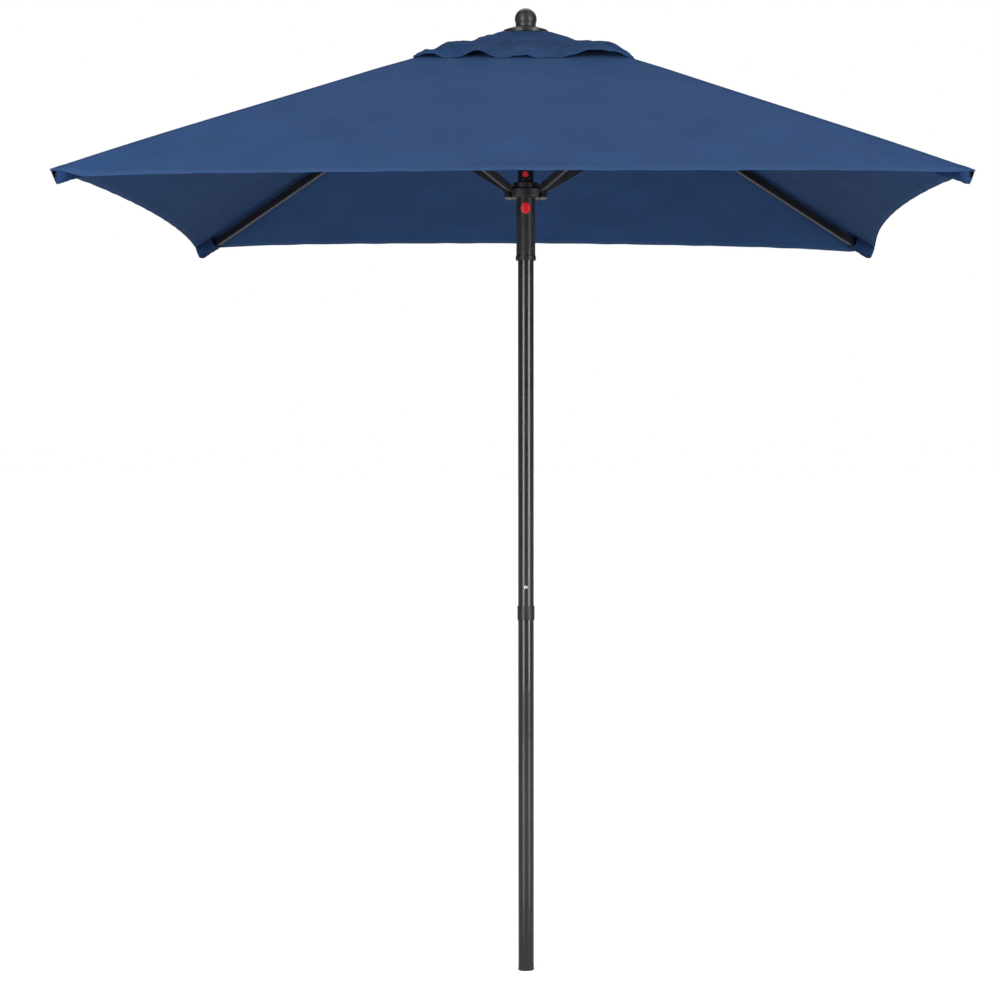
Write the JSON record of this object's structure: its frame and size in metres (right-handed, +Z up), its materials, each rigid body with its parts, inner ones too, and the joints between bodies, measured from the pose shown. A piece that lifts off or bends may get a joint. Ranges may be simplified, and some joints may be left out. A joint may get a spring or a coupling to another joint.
{
  "type": "patio umbrella",
  "caption": "Square push-up garden umbrella with a two-piece pole, straight ribs, hinged struts, sliding runner, vented fabric canopy and ball finial.",
  "frame": {"origin": "on the pole's axis at the cut end of its foot", "axes": "+Z up along the pole; -Y is the front, which the red buttons face; +X to the right of a person who faces the front; the ribs lie at 45 degrees to X and Y"},
  "size_m": [1.89, 1.89, 2.3325],
  "materials": {
    "canopy_fabric": "woven polyester, navy",
    "pole_paint": "semi-gloss black powder coat",
    "rib_paint": "satin black powder coat",
    "black_plastic": "moulded, satin",
    "red_plastic": "moulded, glossy",
    "bright_steel": "polished",
    "zinc_steel": "zinc plated"
  },
  "bodies": {
    "pole": {"lower_pole": "pole_paint", "upper_pole": "pole_paint", "pole_joint_collar": "black_plastic", "foot_plug": "black_plastic", "snap_button_spring": "zinc_steel", "latch_button_spring": "zinc_steel", "top_hub": "black_plastic", "hub_hinge_pins": "zinc_steel", "hub_screws": "zinc_steel", "finial_stud": "zinc_steel", "canopy_clamp_washer": "zinc_steel", "finial_skirt": "black_plastic", "finial_ball": "black_plastic"},
    "runner": {"runner_hub": "black_plastic", "runner_sleeve": "black_plastic", "runner_liner": "black_plastic", "runner_bottom_ring": "black_plastic", "runner_button_spring": "zinc_steel"},
    "runner_button": {"runner_button": "red_plastic"},
    "pole_latch_button": {"pole_latch_button": "red_plastic"},
    "snap_button": {"snap_button": "bright_steel"},
    "rib_front_left": {"rib_bar_front_left": "rib_paint", "rib_tip_front_left": "black_plastic", "strut_bracket_front_left": "rib_paint", "bracket_pin_front_left": "zinc_steel", "bracket_rivet_front_left": "zinc_steel", "canopy_quarter_front_left": "canopy_fabric", "vent_cap_quarter_front_left": "canopy_fabric"},
    "strut_front_left": {"strut_bar_front_left": "rib_paint", "strut_foot_front_left": "black_plastic"},
    "rib_front_right": {"rib_bar_front_right": "rib_paint", "rib_tip_front_right": "black_plastic", "strut_bracket_front_right": "rib_paint", "bracket_pin_front_right": "zinc_steel", "bracket_rivet_front_right": "zinc_steel", "canopy_quarter_front_right": "canopy_fabric", "vent_cap_quarter_front_right": "canopy_fabric"},
    "strut_front_right": {"strut_bar_front_right": "rib_paint", "strut_foot_front_right": "black_plastic"},
    "rib_back_right": {"rib_bar_back_right": "rib_paint", "rib_tip_back_right": "black_plastic", "strut_bracket_back_right": "rib_paint", "bracket_pin_back_right": "zinc_steel", "bracket_rivet_back_right": "zinc_steel", "canopy_quarter_back_right": "canopy_fabric", "vent_cap_quarter_back_right": "canopy_fabric"},
    "strut_back_right": {"strut_bar_back_right": "rib_paint", "strut_foot_back_right": "black_plastic"},
    "rib_back_left": {"rib_bar_back_left": "rib_paint", "rib_tip_back_left": "black_plastic", "strut_bracket_back_left": "rib_paint", "bracket_pin_back_left": "zinc_steel", "bracket_rivet_back_left": "zinc_steel", "canopy_quarter_back_left": "canopy_fabric", "vent_cap_quarter_back_left": "canopy_fabric"},
    "strut_back_left": {"strut_bar_back_left": "rib_paint", "strut_foot_back_left": "black_plastic"}
  },
  "joints": [
    {"name": "runner_slide", "type": "slide", "parent": "pole", "child": "runner", "axis": [0, 0, -1], "range_m": [0, 0.53053], "deforming": ["canopy_quarter_front_left", "vent_cap_quarter_front_left", "canopy_quarter_front_right", "vent_cap_quarter_front_right", "canopy_quarter_back_right", "vent_cap_quarter_back_right", "canopy_quarter_back_left", "vent_cap_quarter_back_left"]},
    {"name": "rib_hinge_front_left", "type": "hinge", "parent": "pole", "child": "rib_front_left", "pos_m": [-0.02828, -0.02828, 2.268], "axis": [0.7071, -0.7071, 0], "range_deg": [0, 68.23]},
    {"name": "strut_hinge_front_left", "type": "hinge", "parent": "rib_front_left", "child": "strut_front_left", "pos_m": [-0.32064, -0.32064, 2.09596], "axis": [-0.7071, 0.7071, 0], "range_deg": [0, 132.3]},
    {"name": "rib_hinge_front_right", "type": "hinge", "parent": "pole", "child": "rib_front_right", "pos_m": [0.02828, -0.02828, 2.268], "axis": [0.7071, 0.7071, 0], "range_deg": [0, 68.23]},
    {"name": "strut_hinge_front_right", "type": "hinge", "parent": "rib_front_right", "child": "strut_front_right", "pos_m": [0.32064, -0.32064, 2.09596], "axis": [-0.7071, -0.7071, 0], "range_deg": [0, 132.3]},
    {"name": "rib_hinge_back_right", "type": "hinge", "parent": "pole", "child": "rib_back_right", "pos_m": [0.02828, 0.02828, 2.268], "axis": [-0.7071, 0.7071, 0], "range_deg": [0, 68.23]},
    {"name": "strut_hinge_back_right", "type": "hinge", "parent": "rib_back_right", "child": "strut_back_right", "pos_m": [0.32064, 0.32064, 2.09596], "axis": [0.7071, -0.7071, 0], "range_deg": [0, 132.3]},
    {"name": "rib_hinge_back_left", "type": "hinge", "parent": "pole", "child": "rib_back_left", "pos_m": [-0.02828, 0.02828, 2.268], "axis": [-0.7071, -0.7071, 0], "range_deg": [0, 68.23]},
    {"name": "strut_hinge_back_left", "type": "hinge", "parent": "rib_back_left", "child": "strut_back_left", "pos_m": [-0.32064, 0.32064, 2.09596], "axis": [0.7071, 0.7071, 0], "range_deg": [0, 132.3]},
    {"name": "runner_button_press", "type": "slide", "parent": "runner", "child": "runner_button", "axis": [0, 1, 0], "range_m": [0, 0.003], "stiffness_N_per_m": 900, "springref_m": -0.003, "deforming": ["runner_button_spring"]},
    {"name": "pole_latch_button_press", "type": "slide", "parent": "pole", "child": "pole_latch_button", "axis": [0, 1, 0], "range_m": [0, 0.0035], "stiffness_N_per_m": 900, "springref_m": -0.003, "deforming": ["latch_button_spring"]},
    {"name": "snap_button_press", "type": "slide", "parent": "pole", "child": "snap_button", "axis": [0, 1, 0], "range_m": [0, 0.0038], "stiffness_N_per_m": 900, "springref_m": -0.003, "deforming": ["snap_button_spring"]}
  ],
  "couplings": [
    {"joint": "rib_hinge_front_left", "follows": "runner_slide", "rad_per_m": 2.2439},
    {"joint": "strut_hinge_front_left", "follows": "runner_slide", "rad_per_m": 4.3517},
    {"joint": "rib_hinge_front_right", "follows": "runner_slide", "rad_per_m": 2.2439},
    {"joint": "strut_hinge_front_right", "follows": "runner_slide", "rad_per_m": 4.3517},
    {"joint": "rib_hinge_back_right", "follows": "runner_slide", "rad_per_m": 2.2439},
    {"joint": "strut_hinge_back_right", "follows": "runner_slide", "rad_per_m": 4.3517},
    {"joint": "rib_hinge_back_left", "follows": "runner_slide", "rad_per_m": 2.2439},
    {"joint": "strut_hinge_back_left", "follows": "runner_slide", "rad_per_m": 4.3517}
  ]
}
